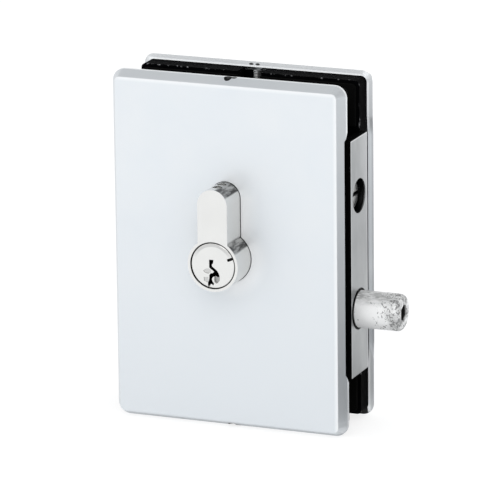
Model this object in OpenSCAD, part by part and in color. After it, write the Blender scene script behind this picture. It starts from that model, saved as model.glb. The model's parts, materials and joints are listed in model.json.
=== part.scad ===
// Patch lock for a frameless glass door: two clamp halves under tapered covers, a lock case with a
// round bolt, and a double profile cylinder that works it.
// Origin: where the bolt's axis leaves the case's front edge, in the middle of the glass.
// +X runs out along the bolt, +Y from the front of the door to its rear, +Z up.

/* [Covers] */
// Width of a cover at its rim
plate_w = 79; // [74:0.5:100]
// Height of a cover at its rim
plate_h = 114; // [112:0.5:150]
// Corner radius of the outline at the rim
rim_r = 4; // [3.5:0.5:8]
// Corner radius of the outline at the face
face_r = 1.6; // [1:0.2:6]
// Depth of a cover from its rim to its face
cover_depth = 4.6; // [4:0.1:8]
// How far the face is set in from the rim along every edge
face_inset = 2; // [0.5:0.1:2.5]
// Depth of the straight edge at the rim, before the slope to the face
edge_band = 1.2; // [0.6:0.1:2]
// Thickness of a cover's edge walls
cover_wall = 2; // [1:0.1:2.5]
// Thickness of a cover's face
face_t = 1.2; // [1:0.1:1.4]
// Width of the rim beyond the case's front edge
rim_reach = 0.5; // [0:0.1:1]
// Height of the covers' middle above the cylinder's axis
cover_rise = 0.6; // [0:0.1:1.5]
// Diameter of the tool hole over each grub screw
tool_hole_d = 2.4; // [1.6:0.1:2.6]
// Depth of the relief in the rim beside the case
relief_depth = 1.8; // [0.5:0.1:2.5]
// Height of the sloped ends of that relief
relief_ramp = 2.8; // [1:0.1:5]
// How far the relief is longer than the case at each end
relief_past = 2; // [0.5:0.1:3]
// Height of the relief's middle above the case's middle
relief_rise = 2; // [0:0.1:3]

/* [Clamps] */
// Thickness of the glass that the lock grips
glass_t = 8; // [8:0.5:12]
// Thickness of a gasket
gasket_t = 1.2; // [0.8:0.1:2]
// Thickness of a clamp half from its glass side to the cover's rim
clamp_t = 6; // [5:0.1:8]
// Corner radius of the clamp halves
clamp_r = 1.4; // [1:0.1:3]
// How far a gasket's edge stays inside its clamp half
gasket_inset = 1; // [0.5:0.1:3]
// Depth of the case's seat in each clamp half
case_seat = 2; // [1.5:0.1:2.5]
// Clearance of pieces that fit round or into each other
seat_gap = 0.2; // [0.1:0.05:0.3]
// Thread diameter of the clamp screws
clamp_screw_d = 5; // [4:0.5:5.5]
// Head diameter of the clamp screws
clamp_head_d = 8.5; // [7:0.1:9]
// Head height of the clamp screws
clamp_head_h = 3; // [2:0.1:3.5]
// Distance of the clamp screws beyond the case body, up and down
clamp_screw_off = 4.4; // [4:0.1:4.6]
// Distance of the clamp screws from the case's front edge and from its back
clamp_screw_in = 12; // [8:0.5:16]
// Thread diameter of the covers' grub screws
grub_d = 3; // [2.5:0.5:3]
// Length of the covers' grub screws
grub_len = 14; // [12:0.5:16]
// Distance of the grub screws' axis outside the rim plane
grub_off = 1.5; // [1.4:0.1:1.6]
// How far the slots in the clamps end short of the grub screws' axis
slot_short = 0.3; // [0:0.1:1]
// Width of the slot that frees each grub screw
slot_w = 8; // [6:0.5:12]
// Share of the clamp beyond the case that each slot runs into
slot_share = 0.56; // [0.3:0.02:0.6]

/* [Case] */
// Distance from the case's front edge to the cylinder's axis
backset = 39; // [38:0.5:45]
// Height of the case's front edge
edge_h = 77.5; // [74:0.5:84]
// Thickness of the case's front flange
edge_t = 3; // [2:0.1:4]
// Height of the case body above the recess for the cylinder's screw
case_above = 5.3; // [4.5:0.1:7]
// Thickness of the case below the leaf spring
sole_t = 2.8; // [2:0.1:4]
// Depth of the case behind the cylinder's axis
case_back = 22.5; // [22:0.5:26]
// Thickness of the case's walls and of its lid
case_wall = 2; // [1.5:0.1:2.2]
// Thread diameter of the lid screws
lid_screw_d = 3; // [2:0.5:3.5]
// Length of the lid screws
lid_screw_len = 8; // [6:0.5:10]
// Distance of the lid screws from the case body's edges
lid_screw_in = 3.7; // [3.4:0.1:4]
// Height of the lid screws' sunk heads
lid_head_h = 1.6; // [1:0.1:1.8]
// Width of the slots in the lid screws
lid_slot_w = 0.6; // [0.4:0.1:0.8]
// Diameter of the recess for the head of the cylinder's screw
recess_d = 11.2; // [10:0.1:12]
// Depth of that recess
recess_depth = 5; // [4:0.5:9]

/* [Bolt] */
// Diameter of the bolt
bolt_d = 12; // [10:0.5:12]
// How far the bolt stands out when thrown
bolt_out = 15; // [12:0.5:16]
// Travel of the bolt
bolt_travel = 15; // [12:0.5:15]
// Rounding of the bolt's end
bolt_round = 1.8; // [0.5:0.1:2.5]
// Width across the flats of the hexagon socket in the bolt's end
socket_af = 5; // [3:0.5:6]
// Depth of that socket
socket_depth = 4; // [2:0.5:6]
// Length of the bolt behind the case's front edge, up to its tail
shank_len = 16; // [12:0.5:18]
// Width of the groove behind the bolt's nose
nose_groove_w = 1; // [0.5:0.1:2]
// Depth of that groove
nose_groove_depth = 0.5; // [0.2:0.1:0.8]
// Wall thickness of the bush round the bolt
bush_t = 0.6; // [0.5:0.05:0.8]
// Depth of the bush
bush_len = 7.6; // [6:0.2:8]
// Depth at which the bush sits below the case's front edge
bush_sunk = 0.4; // [0.2:0.1:1]
// Running clearance round the bolt
bolt_gap = 0.08; // [0.04:0.02:0.1]
// Diameter of the threaded end in the tail
spigot_d = 8; // [6:0.5:8]
// Length of the threaded end in the tail
spigot_len = 5.5; // [4:0.5:6]
// Thickness of the tail's rear horn at its top
horn_t = 3.4; // [3:0.1:4]
// Thickness of the leaf spring under the tail
leaf_t = 0.5; // [0.3:0.1:0.8]
// Span of the leaf spring
leaf_span = 20; // [16:0.5:24]
// Height of the leaf spring's bow
leaf_rise = 4; // [3:0.1:4.2]

/* [Cylinder] */
// Diameter of the cylinder's barrel
barrel_d = 17; // [17:0.1:17.5]
// Width of the cylinder's neck
neck_w = 10; // [9:0.1:10.5]
// Overall height of the cylinder's profile
profile_h = 33; // [32:0.1:34]
// How far the cylinder stands out from each cover
cylinder_out = 11.2; // [10:0.1:14]
// Height of the cylinder's axis above the bolt's axis
axis_rise = 17.4; // [17.2:0.1:18]
// Width of the gap that the cam turns in
cam_gap = 10; // [9:0.1:10]
// Thickness of the clutch between the plugs
clutch_t = 3; // [2.4:0.1:3.2]
// Height of the clutch's bar across the cam
drive_h = 2.8; // [2:0.1:3.2]
// Thickness of that bar
drive_t = 2.2; // [1.6:0.1:2.4]
// Reach of the cam from the cylinder's axis
cam_r = 15; // [14:0.1:15]
// Width of the cam's nose
cam_nose_w = 8; // [6:0.5:8]
// Play of the cam at each side
cam_play = 0.2; // [0.1:0.05:0.3]
// Diameter of a plug
plug_d = 13; // [12.6:0.1:13.2]
// Diameter of the flange at a plug's face
plug_face_d = 14.8; // [14.4:0.1:15.2]
// Thickness of that flange
plug_face_t = 1.4; // [1:0.1:2]
// Width of the bevel round a plug's face
plug_bevel_w = 0.8; // [0.2:0.1:1.2]
// Depth of that bevel
plug_bevel_t = 0.3; // [0.1:0.05:0.5]
// Bevel of the body's edge round a plug
bore_bevel = 0.2; // [0.1:0.05:0.3]
// Width of the index notch in that flange
notch_w = 0.9; // [0.6:0.1:1.2]
// Length of that notch
notch_len = 2; // [1:0.1:2.4]
// Angle of that notch above the horizontal
notch_angle = 23; // [0:1:90]
// Depth of the hollow beside the keyway
hollow_depth = 0.8; // [0.3:0.1:1.2]
// Depth of the two dents on the keyway's other side
dent_depth = 0.3; // [0.1:0.05:0.5]
// Diameter of a plug's inner end
plug_end_d = 11; // [10:0.1:11.4]
// Running clearance round the plugs
plug_gap = 0.06; // [0.03:0.01:0.1]
// Thickness of a plug clip
clip_t = 0.8; // [0.6:0.1:1]
// How far a plug clip stands out round the plug's inner end
clip_reach = 1.3; // [1:0.1:1.4]
// Width of the clip's open side
clip_mouth = 4; // [2:0.5:6]
// Depth of the groove that holds it
groove_depth = 0.6; // [0.4:0.1:0.8]
// Diameter of the pin holes
pin_d = 3; // [2.6:0.1:3]
// Distance from a plug's face to its first pin
first_pin = 4.4; // [4:0.1:5]
// Spacing of the pins
pin_pitch = 3.7; // [3.5:0.1:3.8]
// Number of pins on each side
pin_count = 5; // [3:1:5]
// Height of a lifted key pin's foot above the axis
key_pin_low = 1.9; // [1:0.1:3]
// Height of a driver pin
driver_h = 5.4; // [4:0.1:6]
// Height of the cap in a pin hole
pin_cap_h = 2.6; // [2:0.1:3]
// Depth of that cap below the top of the neck
cap_sunk = 1.2; // [0.6:0.1:2]
// Height of the cylinder's screw above its axis
fixing_rise = 19.6; // [19:0.1:20.5]
// Thread diameter of the cylinder's screw
fixing_d = 5; // [4:0.5:5]
// Head diameter of the cylinder's screw
fixing_head_d = 9; // [8:0.1:9.5]
// Head height of the cylinder's screw
fixing_head_h = 3; // [2:0.1:4]
// Width of the slot in that head
fixing_slot_w = 1.2; // [0.8:0.1:1.6]
// How far that screw ends inside the neck's far side
fixing_short = 0.5; // [0.2:0.1:1]

/* [Hidden] */
$fn = 48;
EPS = 0.01;
// Clearance of a screw in its thread or of a pressed pin in its hole, each side
thread_gap = 0.04;
// Clearance of a cover on its clamp half
cover_gap = 0.2;
// Clearance of a pin and of a pin spring in their hole, each side
pin_gap = 0.1;
spring_gap = 0.2;
// Thickness of a pin spring's wire
spring_wire = 0.3;
// Clearance of the clutch and its bar
drive_gap = 0.1;
// Clearance of a clip in its groove and in the cam's recess
groove_gap = 0.05;
clip_gap = 0.3;
// Clearance round the cylinder in the case and in a clamp half
case_hole_gap = 0.1;
clamp_hole_gap = 0.5;
// Clearance round the cylinder in a cover
cover_hole_gap = 0.15;
// Room left beyond the ends of screws and of moving pieces
end_room = 0.5;
// How far a cutter runs past the piece that it cuts
PAST = 1;
// Hexagon sockets: depth as a share of the head, corner radius as a share of the thread
SOCKET_DEEP = 0.6;
SOCKET_WIDE = 0.46;
GRUB_SOCKET = 0.28;

// Places across the lock, from the middle of the glass outwards
clamp_y = glass_t / 2 + gasket_t;
rim_y = clamp_y + clamp_t;
face_y = rim_y + cover_depth;
case_y = clamp_y + case_seat;
inner_y = case_y - case_wall;
cylinder_y = face_y + cylinder_out;

// Places along X and Z
cylinder_x = -backset;
cylinder_z = axis_rise;
plate_x = rim_reach - plate_w / 2;
plate_z = cylinder_z + cover_rise;
case_back_x = cylinder_x - case_back;
fixing_z = cylinder_z + fixing_rise;
flange_low = cylinder_z - edge_h / 2;
flange_top = cylinder_z + edge_h / 2;

// Cover and clamp sizes
cavity_depth = cover_depth - face_t;
cavity_inset = face_inset * cavity_depth / cover_depth;
clamp_w = plate_w - 2 * cover_wall - 2 * cover_gap;
clamp_h = plate_h - 2 * cover_wall - 2 * cover_gap;
cavity_r = rim_r - cover_wall;
pad_depth = cavity_depth - cover_gap;
slot_h = slot_share * (clamp_h - edge_h) / 2;
grub_y = rim_y + grub_off;
// The grub screws end where they meet the cover's sloping edge wall
grub_top = plate_h / 2 - cover_wall - face_inset * (grub_off + grub_d / 2) / cover_depth - thread_gap;

// Cylinder sizes
profile_top = profile_h - barrel_d / 2;
cam_clear = cam_r + end_room;
cam_half = cam_gap / 2 - cam_play;
hub_r = barrel_d / 2;
groove_r = plug_end_d / 2 - groove_depth;
clip_r = plug_end_d / 2 + clip_reach + clip_gap;
clip_y = cam_half - clip_t - drive_gap;
shear_r = plug_d / 2;
pin_top = profile_top - cap_sunk;
key_pin_top = sqrt(pow(shear_r, 2) - pow(pin_d / 2, 2)) - groove_gap;

// Bolt and tail sizes
bush_r = bolt_d / 2 + bolt_gap + bush_t;
bush_back = -bush_len - bush_sunk;
shank_back = -shank_len;
tail_half_z = bolt_d / 2;
// Room between the cam's path and the tail's scoop
scoop_room = 0.9;
tail_y = inner_y - seat_gap;
// The cam meets the tail's height over this half angle, and the tail moves on meanwhile
meet_angle = acos((axis_rise - tail_half_z) / cam_r);
meet_half = cam_r * sin(meet_angle) - bolt_travel * meet_angle / 360 + scoop_room;
scoop_low = axis_rise - cam_r - scoop_room / 2;
scoop_half = meet_half + scoop_room / 2;
scoop_rise = tail_half_z - scoop_low;
scoop_r = (pow(scoop_half, 2) + pow(scoop_rise, 2)) / (2 * scoop_rise);
scoop_x = cylinder_x + bolt_travel / 2;
tail_back = scoop_x - scoop_half - horn_t;
hollow_back = tail_back - bolt_travel - end_room;
leaf_r = (pow(leaf_span / 2, 2) + pow(leaf_rise, 2)) / (2 * leaf_rise);
leaf_top = -tail_half_z - drive_gap;
leaf_low = leaf_top - leaf_rise - leaf_t;
leaf_x = (shank_back + tail_back) / 2;
// The case body's lower and upper end
body_low = leaf_low - seat_gap - sole_t;
body_top = fixing_z + recess_d / 2 + case_above;

// Extrudes a shape drawn in X and Z from one Y to another.
module along_y(from_y, to_y) {
    translate([0, to_y, 0]) rotate([90, 0, 0]) linear_extrude(to_y - from_y) children();
}

// Extrudes a shape drawn in Y and Z from one X to another.
module along_x(from_x, to_x) {
    translate([from_x, 0, 0]) rotate([90, 0, 90]) linear_extrude(to_x - from_x) children();
}

// A round rod along Y.
module rod_y(x, z, from_y, to_y, r) {
    translate([x, from_y, z]) rotate([-90, 0, 0]) cylinder(h = to_y - from_y, r = r);
}

// A round rod along X.
module rod_x(z, from_x, to_x, r) {
    translate([from_x, 0, z]) rotate([0, 90, 0]) cylinder(h = to_x - from_x, r = r);
}

// A box from one corner to the opposite one.
module block(low, high) {
    translate(low) cube(high - low);
}

// Everything of a side is drawn for the rear, and mirrored for the front.
module on_side(front) {
    mirror([0, front ? 1 : 0, 0]) children();
}

// A rectangle with round corners about the origin.
module rounded(w, h, r) {
    square([w - 2 * r, h], center = true);
    square([w, h - 2 * r], center = true);
    for (sx = [-1, 1], sz = [-1, 1])
        translate([sx * (w / 2 - r), sz * (h / 2 - r)]) circle(r = r);
}

// The rounded outline of the plate, drawn in place.
module plate_outline(w, h, r) {
    translate([plate_x, plate_z]) rounded(w, h, r);
}

// The profile of the cylinder in place: barrel below, neck with a round top above.
module profile(grow = 0) {
    translate([cylinder_x, cylinder_z]) {
        circle(r = barrel_d / 2 + grow);
        translate([-neck_w / 2 - grow, 0]) square([neck_w + 2 * grow, profile_top - neck_w / 2]);
        translate([0, profile_top - neck_w / 2]) circle(r = neck_w / 2 + grow);
    }
}

// A thin slice of the cover's outline.
module cover_slice(inset, r, y) {
    along_y(y, y + EPS) plate_outline(plate_w - 2 * inset, plate_h - 2 * inset, r);
}

// The cutter for the relief in the rim beside the case.
module rim_relief() {
    top = flange_top + relief_rise + relief_past;
    low = flange_low + relief_rise - relief_past;
    deep = rim_y + relief_depth;
    along_x(rim_reach - cover_wall - face_inset, rim_reach + PAST)
        polygon([[rim_y - PAST, low], [rim_y, low], [deep, low + relief_ramp],
            [deep, top - relief_ramp], [rim_y, top], [rim_y - PAST, top]]);
}

// One cover: a tapered shell with the cylinder's opening and the tool holes.
module cover(front) {
    on_side(front) difference() {
        union() {
            along_y(rim_y, rim_y + edge_band) plate_outline(plate_w, plate_h, rim_r);
            hull() {
                cover_slice(0, rim_r, rim_y + edge_band - EPS, $fn = 32);
                cover_slice(face_inset, face_r, face_y - EPS, $fn = 32);
            }
        }
        hull() {
            cover_slice(cover_wall, cavity_r, rim_y - EPS, $fn = 32);
            cover_slice(cover_wall + cavity_inset, cavity_r / 2, rim_y + cavity_depth - EPS, $fn = 32);
        }
        along_y(rim_y, face_y + PAST) profile(cover_hole_gap);
        for (end = [-1, 1])
            translate([plate_x, grub_y, plate_z + end * (plate_h / 2 - cover_wall)])
                cylinder(h = 3 * cover_wall, r = tool_hole_d / 2, center = true);
        rim_relief();
    }
}

module front_cover() {
    color([0.88, 0.91, 0.93]) cover(true);
}

module rear_cover() {
    color([0.88, 0.91, 0.93]) cover(false);
}

// The places of the four clamp screws, as [x, z].
clamp_screw_places = [for (x = [-clamp_screw_in, case_back_x + clamp_screw_in],
    z = [body_low - clamp_screw_off, body_top + clamp_screw_off]) [x, z]];

// The pocket that a clamp half has for the case.
module case_pocket() {
    block([case_back_x - seat_gap, clamp_y - PAST, body_low - seat_gap],
        [rim_reach + PAST, case_y + EPS, body_top + seat_gap]);
    block([-edge_t - seat_gap, clamp_y - PAST, flange_low - seat_gap],
        [rim_reach + PAST, case_y + EPS, flange_top + seat_gap]);
}

// The slots and threaded holes for a cover's grub screws, top and bottom.
module grub_cuts() {
    for (end = [-1, 1]) translate([plate_x, 0, plate_z]) mirror([0, 0, end < 0 ? 1 : 0]) {
        block([-slot_w / 2, clamp_y - PAST, clamp_h / 2 - slot_h],
            [slot_w / 2, grub_y - slot_short, clamp_h / 2 + PAST]);
        translate([0, grub_y, grub_top - grub_len - end_room])
            cylinder(h = grub_len + end_room + cover_wall, r = grub_d / 2 + thread_gap);
    }
}

// One clamp half: a block with a raised pad that the cover sits over.
module clamp(front) {
    on_side(front) difference() {
        union() {
            along_y(clamp_y, rim_y) plate_outline(clamp_w, clamp_h, clamp_r);
            along_y(rim_y - EPS, rim_y + pad_depth)
                plate_outline(clamp_w - 2 * cavity_inset, clamp_h - 2 * cavity_inset, clamp_r);
        }
        case_pocket();
        along_y(clamp_y - PAST, face_y) profile(clamp_hole_gap);
        grub_cuts();
        for (p = clamp_screw_places) {
            rod_y(p.x, p.y, clamp_y - PAST, face_y, clamp_screw_d / 2 + (front ? seat_gap : thread_gap));
            if (front)
                rod_y(p.x, p.y, rim_y + pad_depth - clamp_head_h - seat_gap, face_y,
                    clamp_head_d / 2 + seat_gap);
        }
    }
}

module front_clamp() {
    color([0.06, 0.06, 0.065]) clamp(true);
}

module rear_clamp() {
    color([0.06, 0.06, 0.065]) clamp(false);
}

// One gasket: a rubber sheet round the case's opening, cut away at the grub screws.
module gasket(front) {
    back = case_back_x - clamp_hole_gap;
    on_side(front) along_y(clamp_y - gasket_t, clamp_y) difference() {
        plate_outline(clamp_w - 2 * gasket_inset, clamp_h - 2 * gasket_inset, clamp_r);
        translate([back, flange_low - relief_past])
            square([rim_reach - back, edge_h + 2 * relief_past]);
        for (end = [-1, 1])
            translate([plate_x, plate_z + end * clamp_h / 2]) square([slot_w, 2 * slot_h], center = true);
    }
}

module front_gasket() {
    color([0.1, 0.1, 0.1]) gasket(true);
}

module rear_gasket() {
    color([0.1, 0.1, 0.1]) gasket(false);
}

// The four screws that pull the clamp halves together, heads at the front.
module clamp_screws() {
    head_y = -(rim_y + pad_depth - clamp_head_h);
    color([0.7, 0.7, 0.72]) for (p = clamp_screw_places) difference() {
        union() {
            rod_y(p.x, p.y, head_y, rim_y, clamp_screw_d / 2);
            rod_y(p.x, p.y, head_y - clamp_head_h, head_y, clamp_head_d / 2);
        }
        translate([p.x, head_y - clamp_head_h - EPS, p.y])
            rotate([-90, 0, 0])
                cylinder(h = clamp_head_h * SOCKET_DEEP, r = clamp_screw_d * SOCKET_WIDE, $fn = 6);
    }
}

// The grub screws of one cover, backed out against its top and bottom edges.
module cover_screws(front) {
    on_side(front) for (end = [-1, 1])
        translate([plate_x, grub_y, plate_z]) mirror([0, 0, end < 0 ? 1 : 0]) difference() {
            translate([0, 0, grub_top - grub_len]) cylinder(h = grub_len, r = grub_d / 2);
            translate([0, 0, grub_top - grub_d * SOCKET_DEEP])
                cylinder(h = grub_d, r = grub_d * GRUB_SOCKET, $fn = 6);
        }
}

module front_cover_screws() {
    color([0.6, 0.6, 0.62]) cover_screws(true);
}

module rear_cover_screws() {
    color([0.6, 0.6, 0.62]) cover_screws(false);
}

// The places of the four lid screws, as [x, z].
lid_screw_places = [for (x = [case_back_x + lid_screw_in, -edge_t - lid_screw_in],
    z = [body_low + lid_screw_in, body_top - lid_screw_in]) [x, z]];

// The hollow in the case for the tail, the cam and the leaf spring.
module case_hollow() {
    along_y(-inner_y, inner_y + EPS) {
        translate([hollow_back, -tail_half_z - seat_gap])
            square([bush_back - case_wall / 2 - hollow_back, 2 * tail_half_z + 2 * seat_gap]);
        translate([cylinder_x, cylinder_z]) circle(r = cam_clear + seat_gap);
        translate([leaf_x - leaf_span / 2 - seat_gap, leaf_low - seat_gap])
            square([leaf_span + 2 * seat_gap, -leaf_low]);
    }
}

// The way of the bolt and the seat of its bush, cut into the case and its lid.
module bolt_way() {
    rod_x(0, bush_back, PAST, bush_r + thread_gap);
    rod_x(0, shank_back - bolt_travel - end_room, 0, bolt_d / 2 + seat_gap);
}

// The case: a block with a front flange, hollow for the bolt work and open to the lid.
module lock_case() {
    color([0.68, 0.69, 0.7]) difference() {
        union() {
            block([case_back_x, -case_y, body_low], [-edge_t + EPS, inner_y, body_top]);
            block([-edge_t, -case_y, flange_low], [0, case_y, flange_top]);
        }
        case_hollow();
        along_y(-case_y - PAST, case_y + PAST) profile(case_hole_gap);
        bolt_way();
        rod_x(fixing_z, -recess_depth, PAST, recess_d / 2);
        rod_x(fixing_z, cylinder_x - neck_w / 2, 0, fixing_d / 2 + seat_gap);
        for (p = lid_screw_places)
            rod_y(p.x, p.y, case_y - lid_screw_len - end_room, case_y, lid_screw_d / 2 + thread_gap);
    }
}

// The lid over the rear of the case.
module case_lid() {
    color([0.7, 0.71, 0.72]) difference() {
        block([case_back_x, inner_y, body_low], [-edge_t, case_y, body_top]);
        along_y(inner_y - PAST, case_y + PAST) profile(case_hole_gap);
        bolt_way();
        for (p = lid_screw_places) {
            rod_y(p.x, p.y, inner_y - PAST, case_y + PAST, lid_screw_d / 2 + seat_gap);
            translate([p.x, case_y - lid_head_h, p.y]) rotate([-90, 0, 0])
                cylinder(h = lid_head_h + EPS, r1 = lid_screw_d / 2, r2 = lid_screw_d + thread_gap);
        }
    }
}

// The four countersunk screws of the lid.
module lid_screws() {
    color([0.6, 0.6, 0.62]) for (p = lid_screw_places) difference() {
        union() {
            rod_y(p.x, p.y, case_y - lid_screw_len, case_y - lid_head_h, lid_screw_d / 2);
            translate([p.x, case_y - lid_head_h, p.y]) rotate([-90, 0, 0])
                cylinder(h = lid_head_h, r1 = lid_screw_d / 2, r2 = lid_screw_d);
        }
        translate([p.x, case_y + EPS, p.y])
            cube([3 * lid_screw_d, lid_head_h, lid_slot_w], center = true);
    }
}

// The dark bush that guides the bolt, a little below the case's front edge.
module bolt_bush() {
    color([0.07, 0.07, 0.07]) difference() {
        rod_x(0, bush_back, -bush_sunk, bush_r);
        rod_x(0, bush_back - PAST, 0, bolt_d / 2 + bolt_gap);
    }
}

// The bolt: a round nose with a rounded end and a hexagon socket, a plain shank and a threaded end.
module bolt() {
    color([0.8, 0.8, 0.8]) difference() {
        rotate([90, 0, 90]) rotate_extrude() {
            translate([0, shank_back - spigot_len]) square([spigot_d / 2, spigot_len + bolt_out]);
            translate([0, shank_back]) square([bolt_d / 2, shank_len - nose_groove_w]);
            translate([0, shank_back]) square([bolt_d / 2 - nose_groove_depth, shank_len]);
            square([bolt_d / 2, bolt_out - bolt_round]);
            square([bolt_d / 2 - bolt_round, bolt_out]);
            translate([bolt_d / 2 - bolt_round, bolt_out - bolt_round]) circle(r = bolt_round);
        }
        translate([bolt_out - socket_depth, 0, 0]) rotate([0, 90, 0])
            cylinder(h = socket_depth + PAST, r = socket_af / sqrt(3), $fn = 6);
    }
}

// The tail: a block with two horns that the cam's nose passes between.
module bolt_tail() {
    color([0.72, 0.66, 0.45]) difference() {
        block([tail_back, -tail_y, -tail_half_z], [shank_back, tail_y, tail_half_z]);
        rod_y(scoop_x, scoop_low + scoop_r, -case_y, case_y, scoop_r);
        rod_x(0, shank_back - spigot_len - clip_gap, shank_back + PAST, spigot_d / 2 + thread_gap);
    }
}

// A bowed strip under the tail that keeps the bolt from sliding by itself.
module leaf_spring() {
    color([0.75, 0.75, 0.7]) along_y(-tail_y, tail_y) intersection() {
        translate([leaf_x, leaf_top - leaf_r]) difference() {
            circle(r = leaf_r);
            circle(r = leaf_r - leaf_t);
        }
        translate([leaf_x - leaf_span / 2, leaf_low]) square([leaf_span, -leaf_low]);
    }
}

// The places of one side's pins along Y, from the outer one inwards.
pin_places = [for (i = [0 : pin_count - 1]) cylinder_y - first_pin - i * pin_pitch];

// The cylinder's body: one profile through both sides, cut away where the cam turns.
module cylinder_body() {
    color([0.86, 0.86, 0.84]) difference() {
        along_y(-cylinder_y, cylinder_y) profile();
        rod_y(cylinder_x, cylinder_z, -cam_gap / 2, cam_gap / 2, cam_clear);
        rod_y(cylinder_x, cylinder_z, -cylinder_y - PAST, cylinder_y + PAST, shear_r + plug_gap);
        for (side = [-1, 1]) translate([cylinder_x, side * cylinder_y, cylinder_z]) rotate([90, 0, 0])
            cylinder(h = 2 * plug_face_t + 2 * plug_gap, r = plug_face_d / 2 + plug_gap, center = true);
        for (side = [-1, 1]) translate([cylinder_x, side * (cylinder_y - bore_bevel), cylinder_z])
            rotate([-90 * side, 0, 0]) cylinder(h = bore_bevel + EPS, r1 = plug_face_d / 2 + plug_gap,
                r2 = plug_face_d / 2 + plug_gap + bore_bevel);
        for (side = [-1, 1], y = pin_places) translate([cylinder_x, side * y, cylinder_z])
            cylinder(h = profile_top + PAST, r = pin_d / 2);
        rod_x(fixing_z, cylinder_x - neck_w, cylinder_x + neck_w, fixing_d / 2 + thread_gap);
    }
}

// The keyway's crooked outline about the plug's axis, in hundredths of the plug's face.
module keyway() {
    polygon(plug_face_d / 100 * [[-8, 13], [2, 13], [1, 6], [-2, 2], [-1, -2], [5, -6], [10, -10],
        [14, -16], [16, -23], [13, -24], [10, -26], [7, -24], [4, -23], [0, -25], [-2, -29], [-1, -34],
        [3, -39], [1, -43], [-3, -40], [-6, -42], [-7, -54], [-12, -54], [-11, -37], [-8, -29], [-8, -21],
        [-5, -17], [0, -16], [3, -13], [0, -10], [-5, -7], [-8, -4]]);
}

// The hollow beside the keyway that leads the key's tip, in the same measure.
module hollow() {
    polygon(plug_face_d / 100 * [[4, -20], [9, -12], [14, -17], [16, -24], [16, -31], [12, -36],
        [8, -39], [4, -36], [3, -30]]);
}

// The two dents on the keyway's other side, in the same measure.
module dents() {
    polygon(plug_face_d / 100 * [[-22, -13], [-17, -8], [-10, -6], [-4, -9], [-4, -15], [-10, -18],
        [-18, -17]]);
    polygon(plug_face_d / 100 * [[-21, -27], [-11, -25], [-9, -34], [-13, -38], [-20, -35]]);
}

// One plug with its flange, pin holes, keyway, inner end and clip groove.
module plug(front) {
    mid = [cylinder_x, cylinder_z];
    on_side(front) difference() {
        union() {
            rod_y(mid.x, mid.y, cam_gap / 2, cylinder_y - plug_bevel_t, shear_r);
            rod_y(mid.x, mid.y, cylinder_y - plug_face_t, cylinder_y - plug_bevel_t, plug_face_d / 2);
            translate([mid.x, cylinder_y - plug_bevel_t, mid.y]) rotate([-90, 0, 0])
                cylinder(h = plug_bevel_t, r1 = plug_face_d / 2, r2 = plug_face_d / 2 - plug_bevel_w);
            difference() {
                rod_y(mid.x, mid.y, clutch_t / 2 + drive_gap, cam_gap / 2 + PAST, plug_end_d / 2);
                difference() {
                    rod_y(mid.x, mid.y, clip_y, clip_y + clip_t, plug_end_d);
                    rod_y(mid.x, mid.y, 0, cam_gap, groove_r);
                }
            }
        }
        along_y(cam_gap / 2 + clip_t, cylinder_y + PAST)
            translate(mid) mirror([front ? 0 : 1, 0]) keyway();
        along_y(cylinder_y - hollow_depth, cylinder_y + PAST)
            translate(mid) mirror([front ? 0 : 1, 0]) hollow();
        along_y(cylinder_y - dent_depth, cylinder_y + PAST)
            translate(mid) mirror([front ? 0 : 1, 0]) dents();
        translate([mid.x, cylinder_y, mid.y])
            rotate([0, front ? -notch_angle : notch_angle - 180, 0])
                translate([plug_face_d / 2 - notch_len, -plug_face_t / 2, -notch_w / 2])
                    cube([notch_len + PAST, plug_face_t, notch_w]);
        for (y = pin_places) translate([mid.x, y, mid.y + key_pin_low - pin_gap])
            cylinder(h = plug_d, r = pin_d / 2);
    }
}

module front_plug() {
    color([0.9, 0.9, 0.88]) plug(true);
}

module rear_plug() {
    color([0.9, 0.9, 0.88]) plug(false);
}

// One open ring clip in its plug's groove, inside the cam's end recess.
module plug_clip(front) {
    on_side(front) difference() {
        rod_y(cylinder_x, cylinder_z, clip_y + groove_gap, clip_y + clip_t - groove_gap, clip_r - clip_gap);
        rod_y(cylinder_x, cylinder_z, 0, cam_gap, groove_r + groove_gap);
        block([cylinder_x - clip_mouth / 2, 0, cylinder_z - barrel_d],
            [cylinder_x + clip_mouth / 2, cam_gap, cylinder_z]);
    }
}

module front_plug_clip() {
    color([0.55, 0.55, 0.57]) plug_clip(true);
}

module rear_plug_clip() {
    color([0.55, 0.55, 0.57]) plug_clip(false);
}

// The bar across the cylinder's axis that ties the cam to the clutch, by its half sizes.
module drive_bar(half_x, half_y, half_z) {
    block([cylinder_x - half_x, -half_y, cylinder_z - half_z],
        [cylinder_x + half_x, half_y, cylinder_z + half_z]);
}

// The cam: a ring on the plugs' inner ends with a nose that drives the tail.
module cam() {
    mid = [cylinder_x, cylinder_z];
    color([0.62, 0.62, 0.6]) difference() {
        union() {
            rod_y(mid.x, mid.y, -cam_half, cam_half, hub_r);
            intersection() {
                rod_y(mid.x, mid.y, -cam_half, cam_half, cam_r);
                block([mid.x - cam_nose_w / 2, -cam_half, mid.y],
                    [mid.x + cam_nose_w / 2, cam_half, mid.y + cam_r]);
            }
        }
        rod_y(mid.x, mid.y, -cam_gap, cam_gap, plug_end_d / 2 + plug_gap);
        for (side = [-1, 1]) translate([mid.x, side * cam_gap, mid.y]) rotate([90, 0, 0])
            cylinder(h = 2 * (cam_gap - clip_y + drive_gap), r = clip_r, center = true);
        drive_bar(clip_r, drive_t / 2 + drive_gap, drive_h / 2 + drive_gap);
    }
}

// The clutch between the plugs' inner ends, keyed into the cam.
module clutch() {
    color([0.5, 0.5, 0.52]) union() {
        rod_y(cylinder_x, cylinder_z, -clutch_t / 2, clutch_t / 2, plug_end_d / 2 - plug_gap);
        drive_bar(clip_r - drive_gap, drive_t / 2, drive_h / 2);
    }
}

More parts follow.
